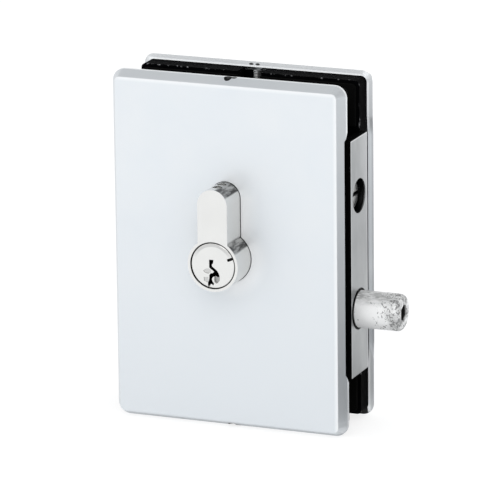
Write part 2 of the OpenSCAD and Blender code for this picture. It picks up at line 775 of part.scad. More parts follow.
// The key pins of one plug, at the height that the right key lifts them to.
module key_pins(front) {
    on_side(front) for (y = pin_places) translate([cylinder_x, y, cylinder_z + key_pin_low])
        cylinder(h = key_pin_top - key_pin_low, r = pin_d / 2 - pin_gap);
}

module front_key_pins() {
    color([0.75, 0.6, 0.35]) key_pins(true);
}

module rear_key_pins() {
    color([0.75, 0.6, 0.35]) key_pins(false);
}

// Rounds that fill every pin hole of the body between two heights above the axis.
module in_pin_holes(low, high, r) {
    for (side = [-1, 1], y = pin_places) translate([cylinder_x, side * y, cylinder_z + low])
        cylinder(h = high - low, r = r);
}

module driver_pins() {
    color([0.75, 0.75, 0.72]) in_pin_holes(shear_r + pin_gap, shear_r + driver_h, pin_d / 2 - pin_gap);
}

// The springs over the driver pins, drawn as plain tubes of their outer size.
module pin_springs() {
    color([0.7, 0.7, 0.7]) difference() {
        in_pin_holes(shear_r + driver_h, pin_top - pin_cap_h, pin_d / 2 - spring_gap);
        in_pin_holes(shear_r, pin_top, pin_d / 2 - spring_gap - spring_wire);
    }
}

module pin_caps() {
    color([0.8, 0.7, 0.45]) in_pin_holes(pin_top - pin_cap_h, pin_top, pin_d / 2 - thread_gap);
}

// The long screw that holds the cylinder, its slotted head in the recess of the front edge.
module cylinder_screw() {
    head_x = -recess_depth;
    color([0.75, 0.75, 0.77]) difference() {
        union() {
            rod_x(fixing_z, cylinder_x - neck_w / 2 + fixing_short, head_x, fixing_d / 2);
            rod_x(fixing_z, head_x, head_x + fixing_head_h, fixing_head_d / 2);
        }
        block([head_x + fixing_head_h / 2, -fixing_head_d, fixing_z - fixing_slot_w / 2],
            [head_x + fixing_head_h + PAST, fixing_head_d, fixing_z + fixing_slot_w / 2]);
    }
}

front_cover();
rear_cover();
front_clamp();
rear_clamp();
front_gasket();
rear_gasket();
clamp_screws();
front_cover_screws();
rear_cover_screws();
lock_case();
case_lid();
lid_screws();
bolt_bush();
bolt();
bolt_tail();
leaf_spring();
cylinder_body();
front_plug();
rear_plug();
front_plug_clip();
rear_plug_clip();
cam();
clutch();
front_key_pins();
rear_key_pins();
driver_pins();
pin_springs();
pin_caps();
cylinder_screw();
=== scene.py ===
# Looks of the patch lock: satin covers, black castings, nickel cylinder and bolt, in a white studio.
import json
import math
from types import SimpleNamespace

import bmesh
import bpy
from mathutils import Matrix, Vector

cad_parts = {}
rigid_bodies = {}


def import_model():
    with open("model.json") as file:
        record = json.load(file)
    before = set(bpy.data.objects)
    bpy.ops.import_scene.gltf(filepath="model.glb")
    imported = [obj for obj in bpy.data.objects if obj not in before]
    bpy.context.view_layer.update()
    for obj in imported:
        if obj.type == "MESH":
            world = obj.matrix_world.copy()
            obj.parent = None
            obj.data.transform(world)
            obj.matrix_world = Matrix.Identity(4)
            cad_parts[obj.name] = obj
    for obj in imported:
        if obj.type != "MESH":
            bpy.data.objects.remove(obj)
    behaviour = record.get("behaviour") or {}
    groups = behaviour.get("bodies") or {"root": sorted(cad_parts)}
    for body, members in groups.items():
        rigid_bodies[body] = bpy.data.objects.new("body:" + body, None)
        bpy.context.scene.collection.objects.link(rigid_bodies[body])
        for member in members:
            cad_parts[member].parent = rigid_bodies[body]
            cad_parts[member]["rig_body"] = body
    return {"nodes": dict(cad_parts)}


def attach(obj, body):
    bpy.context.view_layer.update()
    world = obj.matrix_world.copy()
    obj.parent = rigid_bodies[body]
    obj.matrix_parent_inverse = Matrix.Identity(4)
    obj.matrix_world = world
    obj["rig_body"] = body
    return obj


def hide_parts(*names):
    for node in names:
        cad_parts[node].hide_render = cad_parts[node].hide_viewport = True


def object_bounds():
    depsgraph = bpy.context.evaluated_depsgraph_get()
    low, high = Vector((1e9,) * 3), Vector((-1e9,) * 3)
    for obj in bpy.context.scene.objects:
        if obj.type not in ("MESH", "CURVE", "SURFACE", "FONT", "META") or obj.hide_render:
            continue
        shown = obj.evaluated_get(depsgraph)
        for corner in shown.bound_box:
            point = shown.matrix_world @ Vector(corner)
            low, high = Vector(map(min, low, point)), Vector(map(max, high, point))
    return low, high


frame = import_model()
CAD_BOX = [list(corner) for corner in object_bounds()]
MM = 0.001


def box(node):
    """The lowest and the highest corner of a CAD node, in millimetres, to the micron."""
    points = [vert.co for vert in frame["nodes"][node].data.vertices]
    return [[round(pick(point[axis] for point in points) / MM, 3) for axis in range(3)]
            for pick in (min, max)]


# Places and sizes of the CAD model, in millimetres, from the boxes of its nodes where these show
# them. Y counts from the middle of the glass, and the front half mirrors the rear one.
(plate_left, RIM_Y, plate_low), (plate_right, FACE_Y, plate_top) = box("rear_cover")
PLATE_X, PLATE_Z = (plate_left + plate_right) / 2, (plate_low + plate_top) / 2
RIM_HALF_W, RIM_HALF_H, RIM_R = (plate_right - plate_left) / 2, (plate_top - plate_low) / 2, 4.0
FACE_INSET = 2.0
FACE_HALF_W, FACE_HALF_H = RIM_HALF_W - FACE_INSET, RIM_HALF_H - FACE_INSET
BAND_Y, RELIEF_Y = RIM_Y + 1.2, RIM_Y + 1.8
GRUB_Y, GRUB_PITCH, TOOL_HOLE_R = RIM_Y + 1.5, 0.5, 1.2
(clamp_left, CLAMP_Y, clamp_low), (clamp_right, _, clamp_top) = box("rear_clamp")
CLAMP_HALF_W, CLAMP_HALF_H = (clamp_right - clamp_left) / 2, (clamp_top - clamp_low) / 2
(_, _, CASE_LOW), (_, CASE_Y, CASE_TOP) = box("lock_case")
(barrel_left, _, barrel_low), (barrel_right, CYLINDER_Y, CYLINDER_TOP) = box("cylinder_body")
BARREL_R, NECK_R, PLUG_R = (barrel_right - barrel_left) / 2, 5.0, 7.4
AXIS_X, AXIS_Z = (barrel_left + barrel_right) / 2, barrel_low + BARREL_R
NECK_Z = CYLINDER_TOP - NECK_R
SCREW_Z, RECESS_R = AXIS_Z + 19.6, 5.6
RELIEF_Z, RELIEF_REACH = AXIS_Z + 2, 42.0
_, (BOLT_END, _, _) = box("bolt")
SOCKET_R = 2.9

# How the rear cover's rim departs from the front cover's, in millimetres: BACK is to the rear, IN
# towards the cover's middle, and SIDES adds to it at the left and the right
RIM_BACK, RIM_BACK_SIDES, RIM_IN_X, RIM_IN_Z = 0.5, 0.4, 0.4, 0.3
BAND_BACK, BAND_IN = 0.1, 0.6
RELIEF_EDGE_BACK, RELIEF_EDGE_IN, RELIEF_GAP = 0.9, 0.55, 0.35
RELIEF_END_ZONE, RELIEF_END_MOVE = 6, 4

# The pieces whose edges are rounded: how wide, in millimetres, and in how many steps
ROUNDED = {
    "front_cover": (0.5, 3), "rear_cover": (0.35, 3), "front_clamp": (0.3, 2),
    "rear_clamp": (0.3, 2), "front_gasket": (0.2, 2), "rear_gasket": (0.2, 2),
    "lock_case": (0.25, 2), "bolt": (0.15, 2), "cylinder_body": (0.12, 2),
    "front_plug": (0.08, 2), "rear_plug": (0.08, 2), "cylinder_screw": (0.2, 2),
}

# Edges that turn by more than this are rounded, and faces that turn by less become one, in degrees
SHARP_ANGLE, FLAT_ANGLE = 28, 0.4

# The photograph's camera: angles in degrees, the lens in millimetres, distances in metres
YAW, PITCH, ROLL = 22.34, 15.29, -0.65
SENSOR, LENS = 36, 360
DISTANCE, SHIFT_RIGHT, SHIFT_DOWN = 1.59404, 0.00155, 0.00231

WHITE, BLACK = (1, 1, 1), (0.02, 0.02, 0.02)


# Camera

def make_camera():
    yaw, pitch, roll = math.radians(YAW), math.radians(PITCH), math.radians(ROLL)
    back = Vector((math.sin(yaw) * math.cos(pitch), -math.cos(yaw) * math.cos(pitch), math.sin(pitch)))
    right = (-back).cross(Vector((0, 0, 1))).normalized()
    up = right.cross(-back)
    side = right * math.cos(roll) + up * math.sin(roll)
    top = up * math.cos(roll) - right * math.sin(roll)
    middle = Vector((PLATE_X, 0, PLATE_Z)) * MM
    eye = middle + back * DISTANCE + side * SHIFT_RIGHT - top * SHIFT_DOWN
    data = bpy.data.cameras.new("camera")
    data.sensor_width, data.lens = SENSOR, LENS
    data.clip_start, data.clip_end = 0.05, 20
    camera = bpy.data.objects.new("camera", data)
    bpy.context.scene.collection.objects.link(camera)
    camera.matrix_world = Matrix((
        (side.x, top.x, back.x, eye.x), (side.y, top.y, back.y, eye.y),
        (side.z, top.z, back.z, eye.z), (0, 0, 0, 1)))
    bpy.context.scene.camera = camera


# Node trees

class Tree:
    """A node tree, with short calls for the nodes that are used often."""

    def __init__(self, tree):
        self.tree = tree

    def new(self, kind, **values):
        """A node, with values for its settings or for its sockets, where _ stands for a space."""
        node = self.tree.nodes.new(kind)
        for key, value in values.items():
            if hasattr(node, key):
                setattr(node, key, value)
            else:
                node.inputs[key.replace("_", " ")].default_value = value
        return node

    def link(self, a, b):
        self.tree.links.new(a, b)

    def split(self, vector):
        node = self.new("ShaderNodeSeparateXYZ")
        self.link(vector, node.inputs[0])
        return node.outputs

    def span(self, value, low, high, to_low=0.0, to_high=1.0, kind="LINEAR"):
        """Runs from to_low to to_high while value runs from low to high, and stays flat outside."""
        node = self.new("ShaderNodeMapRange", interpolation_type=kind)
        for index, number in zip((1, 2, 3, 4), (low, high, to_low, to_high)):
            node.inputs[index].default_value = number
        self.link(value, node.inputs[0])
        return node.outputs[0]

    def ease(self, value, low, high, to_low=0.0, to_high=1.0):
        """A span that starts and ends softly."""
        return self.span(value, low, high, to_low, to_high, "SMOOTHSTEP")

    def band(self, value, low, high, soft):
        """1 between low and high, 0 outside, with a soft edge."""
        return self.product(self.span(value, low - soft, low), self.span(value, high, high + soft, 1, 0))

    def maths(self, how, a, b=0.0):
        node = self.new("ShaderNodeMath", operation=how)
        for socket, value in zip(node.inputs, (a, b)):
            if isinstance(value, (int, float)):
                socket.default_value = value
            else:
                self.link(value, socket)
        return node.outputs[0]

    def most(self, *values):
        result = values[0]
        for value in values[1:]:
            result = self.maths("MAXIMUM", result, value)
        return result

    def product(self, *values):
        result = values[0]
        for value in values[1:]:
            result = self.maths("MULTIPLY", result, value)
        return result

    def beyond(self, value, place):
        return self.maths("SUBTRACT", value, place)

    def away(self, value, place=0.0):
        """Distance of value from place, to either side."""
        return self.maths("ABSOLUTE", self.beyond(value, place))

    def reach(self, a, b, centre_a, centre_b):
        """Distance from a line, from two of the axes."""
        da, db = self.beyond(a, centre_a), self.beyond(b, centre_b)
        squares = self.maths("ADD", self.product(da, da), self.product(db, db))
        return self.maths("SQRT", squares)

    def mix(self, fac, a, b):
        node = self.new("ShaderNodeMix", data_type="RGBA")
        for socket, value in ((node.inputs["Factor"], fac), (node.inputs[6], a), (node.inputs[7], b)):
            if isinstance(value, (int, float)):
                socket.default_value = value
            elif isinstance(value, tuple):
                socket.default_value = (*value, 1)
            else:
                self.link(value, socket)
        return node.outputs[2]

    def blend(self, fac, a, b):
        """Shader a where fac is 0, shader b where it is 1."""
        node = self.new("ShaderNodeMixShader")
        for socket, value in zip(node.inputs, (fac, a, b)):
            self.link(value, socket)
        return node.outputs[0]


class Finish(Tree):
    """A material with the principled shader."""

    def __init__(self, name, base, metallic, roughness, **sockets):
        self.material = bpy.data.materials.new(name)
        self.material.use_nodes = True
        self.material.diffuse_color = (*base, 1)
        super().__init__(self.material.node_tree)
        self.shader = self.tree.nodes["Principled BSDF"]
        self.shader.inputs["Base Color"].default_value = (*base, 1)
        self.shader.inputs["Metallic"].default_value = metallic
        self.shader.inputs["Roughness"].default_value = roughness
        for key, value in sockets.items():
            self.shader.inputs[key.replace("_", " ")].default_value = value

    def place(self, scale=(1, 1, 1)):
        """Object coordinates in metres, stretched by scale."""
        coords = self.new("ShaderNodeTexCoord")
        mapping = self.new("ShaderNodeMapping", Scale=scale)
        self.link(coords.outputs["Object"], mapping.inputs["Vector"])
        return mapping.outputs["Vector"]

    def axes(self):
        """Object coordinates in millimetres, one output for each axis."""
        return self.split(self.place((1 / MM, 1 / MM, 1 / MM)))

    def noise(self, vector, scale, detail=4, roughness=0.5, distortion=0):
        node = self.new("ShaderNodeTexNoise", Scale=scale, Detail=detail, Roughness=roughness,
                        Distortion=distortion)
        self.link(vector, node.inputs["Vector"])
        return node.outputs["Fac"]

    def bump(self, height, strength, distance):
        node = self.new("ShaderNodeBump", Strength=strength, Distance=distance)
        self.link(height, node.inputs["Height"])
        self.wire(node.outputs["Normal"], "Normal")

    def wire(self, value, socket):
        self.link(value, self.shader.inputs[socket])


# Materials. Their masks, from 0 to 1, are built from places on the lock in millimetres.

def plate_places(n):
    """Where a point of a cover lies: in the frame, from the glass, and from the cover's middle."""
    x, y, z = n.axes()
    return SimpleNamespace(
        x=x, y=y, z=z, out=n.away(y), right=n.beyond(x, PLATE_X), top=n.beyond(z, PLATE_Z),
        wide=n.away(x, PLATE_X), high=n.away(z, PLATE_Z),
        front=n.span(y, 0.0, -1.0), rear=n.span(y, 0.0, 1.0))


def painted_light_beside_cylinder(n, p):
    """Painted light on the face to the right of the cylinder, lifting the shade that the cylinder casts
    there.
    """
    neck = n.product(n.ease(p.x, AXIS_X + NECK_R, AXIS_X + NECK_R + 7, 1, 0),
                     n.band(p.z, AXIS_Z + 4, NECK_Z + 0.1, 3))
    barrel = n.ease(n.reach(p.x, p.z, AXIS_X, AXIS_Z), BARREL_R, BARREL_R + 6.5, 0.9, 0)
    crown = n.ease(n.reach(p.x, p.z, AXIS_X, NECK_Z), NECK_R, NECK_R + 5, 0.7, 0)
    crown = n.product(crown, n.span(p.z, NECK_Z - 1.9, NECK_Z + 0.1))
    return n.product(n.most(neck, barrel, crown), n.span(p.x, AXIS_X - 3, AXIS_X + 3))


def plate_edge_highlight(n, p):
    """Painted highlights along the face's border at the right and the top, and along the straight edge at
    the rim.
    """
    border = n.most(n.span(p.right, FACE_HALF_W - 1.3, FACE_HALF_W - 0.3),
                    n.span(p.top, FACE_HALF_H - 1.3, FACE_HALF_H - 0.3))
    border = n.product(border, n.span(p.out, FACE_Y - 0.25, FACE_Y - 0.05))
    return n.most(border, n.span(p.out, BAND_Y + 0.05, BAND_Y - 0.1))


def plate_painted_shade(n, p):
    """Painted shade on duller parts: the rear rim, its top right corner, the left slope, the front's low
    right corner.
    """
    slope = n.span(p.out, FACE_Y - 0.05, FACE_Y - 0.25)
    rim = n.most(n.span(p.wide, RIM_HALF_W - 1.55, RIM_HALF_W - 1.3),
                 n.span(p.high, RIM_HALF_H - 1.6, RIM_HALF_H - 1.4))
    rim = n.product(p.rear, rim, n.span(p.out, FACE_Y - 1.5, FACE_Y - 1.9))
    corner = n.product(p.rear, n.span(p.right, FACE_HALF_W - 2.5, FACE_HALF_W - 1.3),
                       n.span(p.top, FACE_HALF_H - 2.4, FACE_HALF_H - 1.2))
    left = n.product(slope, n.span(p.right, 0.9 - FACE_HALF_W, -0.1 - FACE_HALF_W))
    low_corner = n.product(p.front, slope, n.span(p.right, FACE_HALF_W - 1.5, FACE_HALF_W),
                           n.span(p.top, 3 - FACE_HALF_H, 1 - FACE_HALF_H))
    return n.most(n.product(rim, 0.8), n.product(corner, 0.9), n.product(left, 0.5),
                  n.product(low_corner, 0.8))


def plate_hole_shade(n, p):
    """Painted shade of the tool holes: the front cover's dark hole with a dark speck beside it, and two
    dark specks on the rear one.
    """
    hole = n.product(p.front, n.span(n.reach(p.x, p.out, PLATE_X, GRUB_Y), TOOL_HOLE_R + 0.08,
                                     TOOL_HOLE_R + 0.22, 1, 0),
                     n.span(p.out, RELIEF_Y, RELIEF_Y - 0.2))
    flat, speck_x, speck_y = 0.7, 1.35, BAND_Y - 0.3
    speck = n.reach(n.product(p.right, flat), p.out, speck_x, speck_y)
    speck = n.product(p.front, n.span(speck, 0.6, 0.85, 1, 0))
    tall, apart, height = 2.2, 1.1, RIM_HALF_H - 1.15
    pair = n.reach(n.away(p.right, -0.8), n.product(p.high, tall), apart, height * tall)
    pair = n.product(p.rear, n.span(pair, 0.6, 0.9, 1, 0), n.span(p.out, BAND_Y - 0.1, BAND_Y - 0.3))
    return n.product(n.most(hole, speck, pair), n.span(p.high, FACE_HALF_H - 3, FACE_HALF_H - 2))


def low_rim_black(n, p):
    """Black on the rear cover's rim low down, within the width of the castings."""
    return n.product(p.rear, n.span(p.y, BAND_Y - 0.1, BAND_Y - 0.3),
                     n.span(p.top, RIM_R - RIM_HALF_H, RIM_R - RIM_HALF_H - 0.3),
                     n.span(p.right, CLAMP_HALF_W, CLAMP_HALF_W - 0.2))


def satin_plate():
    """Satin nickel, darker towards the bottom, with painted highlights along its edges and beside the
    cylinder, painted shade on duller parts, under the lower edge and in the tool holes, and black on the
    rear rim low down.
    """
    n = Finish("satin_plate", (0.83, 0.865, 0.895), 0.8, 0.40)
    p = plate_places(n)
    grain = n.noise(n.place(), 9000, 3, 0.6)
    cloud = n.noise(n.place(), 60, 3, 0.5)
    face = n.span(p.out, FACE_Y - 0.2, FACE_Y - 0.05)
    clear = n.mix(n.span(cloud, 0.3, 0.7), (0.815, 0.855, 0.89), (0.845, 0.875, 0.90))
    # Painted shade: the face darker towards the bottom
    plain = n.mix(n.product(n.span(p.z, 40, -35), face), clear, (0.775, 0.81, 0.84))
    # Painted highlights along the edges, and painted light beside the cylinder
    light = n.most(n.product(plate_edge_highlight(n, p), 0.75), n.product(painted_light_beside_cylinder(n, p), face))
    painted_highlight = n.mix(light, plain, (0.97, 0.985, 0.995))
    # Painted shade on the duller parts, and under the lower edge
    greyed = n.mix(plate_painted_shade(n, p), painted_highlight, (0.62, 0.64, 0.66))
    under = n.product(n.span(p.top, 0.9 - RIM_HALF_H, 1.6 - RIM_HALF_H, 1, 0),
                      n.span(p.out, BAND_Y, BAND_Y + 0.3))
    shaded = n.mix(n.product(under, 0.4), greyed, (0.30, 0.31, 0.32))
    # Painted shade in the tool holes, and black on the rear rim low down
    dark = n.most(n.product(plate_hole_shade(n, p), 0.95), low_rim_black(n, p))
    n.wire(n.mix(dark, shaded, BLACK), "Base Color")
    n.wire(n.span(p.out, FACE_Y - 0.25, FACE_Y, 0.8, 0.3), "Metallic")
    n.wire(n.span(cloud, 0.3, 0.7, 0.37, 0.43), "Roughness")
    n.bump(grain, 0.06, 0.00002)
    return n.material


def black_casting():
    """Black coated zinc, with painted highlights in specks along the edges beside the glass."""
    n = Finish("black_casting", (0.004, 0.004, 0.005), 0.0, 0.65, Specular_IOR_Level=0.03,
               Specular_Tint=(0.08, 0.08, 0.08, 1))
    x, y, z = n.axes()
    rough = n.noise(n.place(), 1400, 5, 0.65)
    specks = n.noise(n.place((1, 1, 0.5)), 900, 4, 0.6)
    side = n.span(n.away(x, PLATE_X), CLAMP_HALF_W - 0.4, CLAMP_HALF_W - 0.15)
    end = n.span(n.away(z, PLATE_Z), CLAMP_HALF_H - 0.4, CLAMP_HALF_H - 0.15)
    edge = n.product(n.most(side, end), n.span(n.away(y), CLAMP_Y + 0.35, CLAMP_Y + 0.6, 1, 0))
    # Painted highlights: glints in specks along the edges beside the glass
    painted_highlight = n.product(edge, n.span(specks, 0.585, 0.66))
    plain = n.mix(n.span(rough, 0.35, 0.7), (0.001, 0.001, 0.0015), (0.003, 0.003, 0.0035))
    n.wire(n.mix(painted_highlight, plain, (0.30, 0.30, 0.31)), "Base Color")
    n.wire(n.span(rough, 0.3, 0.7, 0.6, 0.8), "Roughness")
    n.bump(rough, 0.35, 0.00008)
    return n.material


def rubber():
    n = Finish("rubber", (0.004, 0.004, 0.004), 0.0, 0.7, Specular_IOR_Level=0.05,
               Specular_Tint=(0.2, 0.2, 0.2, 1))
    fine = n.noise(n.place(), 3000, 3, 0.6)
    n.wire(n.mix(fine, (0.002, 0.002, 0.002), (0.006, 0.006, 0.006)), "Base Color")
    n.bump(fine, 0.25, 0.00004)
    return n.material


def metal(name, base, roughness):
    """Plain metal, a little mottled."""
    n = Finish(name, base, 1.0, roughness)
    fine = n.noise(n.place(), 900, 4, 0.6)
    dull = tuple(c * 0.86 for c in base)
    n.wire(n.mix(n.span(fine, 0.3, 0.7), dull, base), "Base Color")
    n.wire(n.span(fine, 0.3, 0.7, roughness * 0.85, roughness * 1.2), "Roughness")
    n.bump(fine, 0.1, 0.00003)
    return n.material


def grub_zinc():
    """Bright zinc on the grub screws, with painted light and shade as stripes along their threads and
    painted shade towards the right, and their threads as a bump.
    """
    n = Finish("grub_zinc", (0.85, 0.85, 0.85), 0.3, 0.35)
    fine = n.noise(n.place(), 1800, 3, 0.6)
    x, _, z = n.axes()
    thread = n.maths("SINE", n.product(z, 2 * math.pi / GRUB_PITCH))
    # Painted light and shade: bright crests and dark roots of the threads
    bright = n.mix(n.span(thread, -1, 1), (0.35, 0.35, 0.35), (0.92, 0.92, 0.92))
    # Painted shade towards the right of the screws
    n.wire(n.mix(n.span(x, PLATE_X - 0.1, PLATE_X + 0.5), bright, (0.08, 0.08, 0.08)), "Base Color")
    n.wire(n.span(fine, 0.3, 0.7, 0.30, 0.42), "Roughness")
    n.bump(n.maths("ADD", n.product(thread, 0.8), n.product(fine, 0.2)), 0.6, 0.0002)
    return n.material


def case_zinc():
    """Brushed zinc, brighter with painted highlights along its front edges and painted light higher up,
    black at its sides, and black with painted shade down in the screw's recess.
    """
    n = Finish("case_zinc", (0.43, 0.44, 0.45), 1.0, 0.36)
    x, y, z = n.axes()
    thick = n.away(y)
    lines = n.noise(n.place((1, 1, 0.02)), 5000, 3, 0.6)
    cloud = n.noise(n.place((1, 1, 0.5)), 120, 4, 0.55)
    plain = n.mix(n.span(cloud, 0.3, 0.7), (0.36, 0.37, 0.375), (0.46, 0.47, 0.475))
    front = n.span(x, -0.6, -0.3)
    # Painted highlights along the front's edges
    wear_and_highlight = n.product(front, n.most(n.span(thick, CASE_Y - 0.55, CASE_Y - 0.35),
                                   n.span(z, CASE_TOP - 0.5, CASE_TOP - 0.3)))
    # Painted light: lighter higher up and towards the rear
    lighter = n.product(n.span(y, -1, 6), n.span(z, 20, 50, 0, 0.5), front)
    toned = n.mix(lighter, plain, (0.66, 0.67, 0.68))
    edged = n.mix(n.product(wear_and_highlight, 0.8), toned, (0.80, 0.81, 0.82))
    # Painted shade down in the screw's recess
    recess = n.product(n.span(x, -0.5, -0.25, 1, 0),
                       n.span(n.reach(y, z, 0.0, SCREW_Z), RECESS_R + 0.3, RECESS_R + 0.5, 1, 0))
    side = n.most(n.span(thick, CASE_Y - 0.12, CASE_Y - 0.04), n.span(z, CASE_TOP - 0.1, CASE_TOP - 0.03),
                  n.span(z, CASE_LOW + 0.1, CASE_LOW + 0.03))
    n.wire(n.mix(n.most(recess, side), edged, (0.02, 0.02, 0.021)), "Base Color")
    n.wire(n.span(lines, 0.3, 0.7, 0.32, 0.42), "Roughness")
    n.bump(lines, 0.12, 0.00003)
    return n.material


def bolt_nickel():
    """Pale nickel, with painted shade as grey streaks along the top and black in the socket, and wear that
    grows denser towards the bolt's end.
    """
    n = Finish("bolt_nickel", (0.95, 0.95, 0.945), 0.15, 0.34)
    x, y, z = n.axes()
    patch = n.noise(n.place((0.6, 0.5, 0.5)), 2300, 3, 0.55, 0.5)
    broad = n.noise(n.place(), 300, 2, 0.5)
    streak = n.noise(n.place((0.3, 1, 1)), 1300, 4, 0.65)
    fine = n.noise(n.place((1, 0.3, 0.3)), 3600, 3, 0.6)
    # The coat is worn where the patches are higher than this limit, which falls towards the end
    limit = n.maths("ADD", n.span(x, 4.0, 13.0, 0.70, 0.515), n.span(broad, 0.35, 0.65, 0.06, -0.06))
    wear_and_highlight = n.span(n.beyond(patch, limit), 0.0, 0.05)
    # Painted shade: grey streaks along the top
    top_shade = n.product(n.span(z, 2.6, 5.0), n.span(streak, 0.42, 0.58, 0.20, 1.0))
    tip = n.product(n.span(x, 9.5, 12.5), n.span(broad, 0.40, 0.60, 0.0, 0.7))
    plain = n.mix(n.span(fine, 0.3, 0.7), (0.95, 0.95, 0.945), (0.99, 0.99, 0.985))
    greyed = n.mix(n.most(top_shade, tip), plain, (0.46, 0.46, 0.455))
    marked = n.mix(n.product(wear_and_highlight, 0.8), greyed, (0.16, 0.16, 0.16))
    # Painted shade: black down in the socket
    socket = n.product(n.span(x, BOLT_END - 0.8, BOLT_END - 0.4, 1, 0),
                       n.span(n.reach(y, z, 0.0, 0.0), SOCKET_R + 0.1, SOCKET_R + 0.3, 1, 0))
    foot = n.span(x, 0.25, 0.45, 1, 0)
    n.wire(n.mix(n.most(socket, foot), marked, BLACK), "Base Color")
    n.wire(n.span(fine, 0.3, 0.7, 0.30, 0.40), "Roughness")
    n.bump(n.maths("ADD", n.product(wear_and_highlight, -0.6), n.product(fine, 0.3)), 0.25, 0.00005)
    return n.material


def cylinder_nickel():
    """Bright nickel, with painted shade: a dark line round each plug, darker in the keyway, and painted
    reflections as dark bands along the sides.
    """
    n = Finish("cylinder_nickel", (0.83, 0.828, 0.81), 1.0, 0.22)
    x, y, z = n.axes()
    out, rise = n.away(y), n.beyond(z, AXIS_Z)
    round_axis = n.reach(x, z, AXIS_X, AXIS_Z)
    fine = n.noise(n.place(), 3500, 3, 0.6)
    cloud = n.noise(n.place(), 160, 3, 0.5)
    streak = n.noise(n.place((1, 0.25, 1)), 700, 4, 0.6)
    plain = n.mix(n.span(cloud, 0.3, 0.7), (0.81, 0.81, 0.795), (0.84, 0.84, 0.825))
    # The sides: painted reflections as dark streaks on the neck's crown and beside its foot, and painted
    # shade a little along the rest, more towards the cover
    side = n.span(out, CYLINDER_Y - 0.25, CYLINDER_Y - 0.15, 1, 0)
    crown = n.product(n.span(z, CYLINDER_TOP - 2.8, CYLINDER_TOP - 2.3),
                      n.span(x, AXIS_X + 0.2, AXIS_X + 1.2))
    bands = n.product(n.most(n.band(rise, 4.5, 7.2, 0.7), crown), n.span(streak, 0.40, 0.58, 0.60, 1.0))
    painted_side_shade = n.product(side, n.most(bands, n.span(out, FACE_Y, CYLINDER_Y, 0.22, 0.06)))
    banded = n.mix(painted_side_shade, plain, (0.045, 0.045, 0.045))
    # The plug's face: painted shade as a grey arc along the top, and greyer painted shade where it is cut
    # down
    arc_shade = n.product(n.band(round_axis, PLUG_R - 1.1, PLUG_R - 0.4, 0.3), n.span(rise, 2.0, 5.0),
                    n.span(out, CYLINDER_Y - 0.2, CYLINDER_Y - 0.1))
    arched = n.mix(n.product(arc_shade, 0.42), banded, (0.35, 0.35, 0.35))
    hollow_shade = n.product(n.span(round_axis, PLUG_R - 0.8, PLUG_R - 0.6, 1, 0),
                    n.span(out, CYLINDER_Y - 0.05, CYLINDER_Y - 0.15))
    hollow_shade = n.product(hollow_shade, n.span(out, CYLINDER_Y - 0.2, CYLINDER_Y - 0.8, 0.22, 0.55))
    faced = n.mix(hollow_shade, arched, (0.22, 0.22, 0.22))
    # Painted shade: a dark line in the gap round each plug, black in the keyway and in the index notch
    gap_shade = n.product(n.band(round_axis, PLUG_R - 0.13, PLUG_R + 0.18, 0.08),
                     n.span(out, CYLINDER_Y - 0.7, CYLINDER_Y - 0.6))
    keyway = n.product(n.span(out, CYLINDER_Y - 1.2, CYLINDER_Y - 0.7, 1, 0),
                       n.span(round_axis, PLUG_R - 0.4, PLUG_R - 0.2, 1, 0))
    notch = n.product(n.span(out, CYLINDER_Y - 0.45, CYLINDER_Y - 0.25, 1, 0),
                      n.band(round_axis, PLUG_R - 2.1, PLUG_R, 0.1), n.span(rise, 0.8, 1.0))
    n.wire(n.mix(n.most(gap_shade, keyway, notch), faced, (0.015, 0.015, 0.015)), "Base Color")
    n.wire(n.span(fine, 0.3, 0.7, 0.18, 0.26), "Roughness")
    n.bump(fine, 0.05, 0.00002)
    return n.material


def black_nylon():
    n = Finish("black_nylon", (0.006, 0.006, 0.006), 0.0, 0.5, Specular_IOR_Level=0.2)
    fine = n.noise(n.place(), 2500, 3, 0.6)
    n.wire(n.mix(fine, (0.004, 0.004, 0.004), (0.009, 0.009, 0.009)), "Base Color")
    n.bump(fine, 0.2, 0.00003)
    return n.material


MATERIALS = {
    "satin_plate": satin_plate(),
    "black_casting": black_casting(),
    "rubber": rubber(),
    "plated_steel": metal("plated_steel", (0.62, 0.62, 0.61), 0.30),
    "dark_steel": metal("dark_steel", (0.30, 0.30, 0.305), 0.34),
    "case_zinc": case_zinc(),
    "black_nylon": black_nylon(),
    "bolt_nickel": bolt_nickel(),
    "tail_brass": metal("tail_brass", (0.62, 0.52, 0.30), 0.34),
    "spring_steel": metal("spring_steel", (0.45, 0.45, 0.44), 0.28),
    "cylinder_nickel": cylinder_nickel(),
    "cam_steel": metal("cam_steel", (0.50, 0.50, 0.49), 0.40),
    "grub_zinc": grub_zinc(),
    "pin_brass": metal("pin_brass", (0.72, 0.58, 0.30), 0.25),
    "cap_nickel": metal("cap_nickel", (0.93, 0.93, 0.92), 0.45),
}

# Which finish each CAD node has
FINISH = {
    "front_cover": "satin_plate", "rear_cover": "satin_plate",
    "front_clamp": "black_casting", "rear_clamp": "black_casting",
    "front_gasket": "rubber", "rear_gasket": "rubber",
    "clamp_screws": "plated_steel", "front_cover_screws": "dark_steel",
    "rear_cover_screws": "grub_zinc", "lock_case": "case_zinc", "case_lid": "case_zinc",
    "lid_screws": "plated_steel", "bolt_bush": "black_nylon", "bolt": "bolt_nickel",
    "bolt_tail": "tail_brass", "leaf_spring": "spring_steel", "cylinder_body": "cylinder_nickel",
    "front_plug": "cylinder_nickel", "rear_plug": "cylinder_nickel",
    "front_plug_clip": "spring_steel", "rear_plug_clip": "spring_steel", "cam": "cam_steel",
    "clutch": "cam_steel", "front_key_pins": "pin_brass", "rear_key_pins": "pin_brass",
    "driver_pins": "pin_brass", "pin_springs": "spring_steel", "pin_caps": "cap_nickel",
    "cylinder_screw": "plated_steel",
}


# Pieces

def body_of(node):
    return frame["nodes"][node]["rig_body"]


